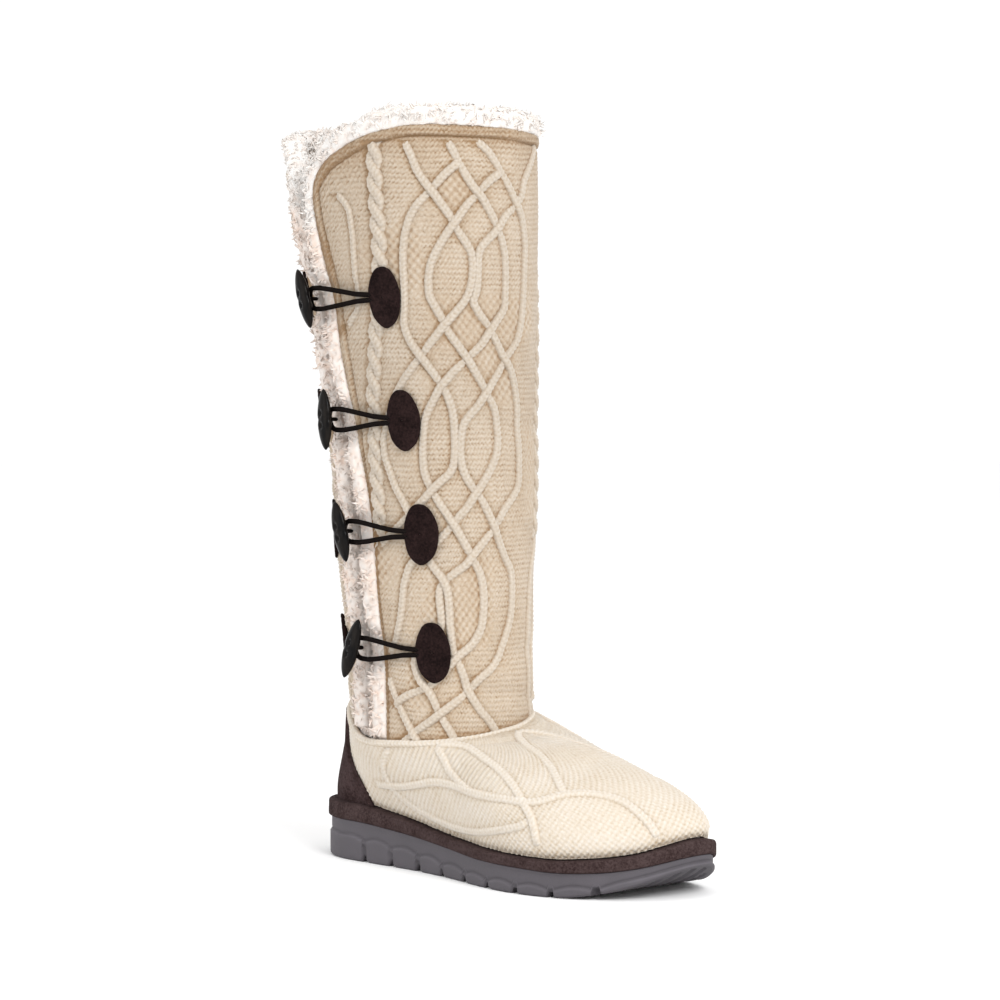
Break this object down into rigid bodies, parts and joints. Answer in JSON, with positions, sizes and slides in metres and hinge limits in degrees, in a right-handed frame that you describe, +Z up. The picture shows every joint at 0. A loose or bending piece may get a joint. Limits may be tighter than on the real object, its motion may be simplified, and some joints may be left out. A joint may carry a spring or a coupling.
{
  "type": "tall cable-knit boot",
  "caption": "Tall right boot with a cable-knit shaft and foot, a side slit edged with deep fur and closed by horn toggles, a suede heel counter and welt, and a ribbed foam sole.",
  "frame": {"origin": "on the floor under the middle of the sole's flat heel, on the sole's long line", "axes": "+X from the heel to the toe, +Y to the medial side, +Z up the shaft"},
  "size_m": [0.2925, 0.1194, 0.4232],
  "materials": {
    "ivory_knit": "chunky cable knit, matt",
    "brown_suede": "napped suede, matt",
    "sole_foam": "moulded foam, matt",
    "cream_fur": "deep curly plush",
    "fleece_lining": "short fleece",
    "black_toggle": "polished",
    "black_cord": "braided elastic"
  },
  "bodies": {
    "root": {"outsole": "sole_foam", "welt": "brown_suede", "insole": "fleece_lining", "upper": "ivory_knit", "heel_counter": "brown_suede", "shaft": "ivory_knit", "fur_edging": "cream_fur", "patch_front_1": "brown_suede", "patch_rear_1": "brown_suede", "toggle_1": "black_toggle", "cord_loop_1": "black_cord", "cord_stem_1": "black_cord", "patch_front_2": "brown_suede", "patch_rear_2": "brown_suede", "toggle_2": "black_toggle", "cord_loop_2": "black_cord", "cord_stem_2": "black_cord", "patch_front_3": "brown_suede", "patch_rear_3": "brown_suede", "toggle_3": "black_toggle", "cord_loop_3": "black_cord", "cord_stem_3": "black_cord", "patch_front_4": "brown_suede", "patch_rear_4": "brown_suede", "toggle_4": "black_toggle", "cord_loop_4": "black_cord", "cord_stem_4": "black_cord"}
  },
  "joints": []
}
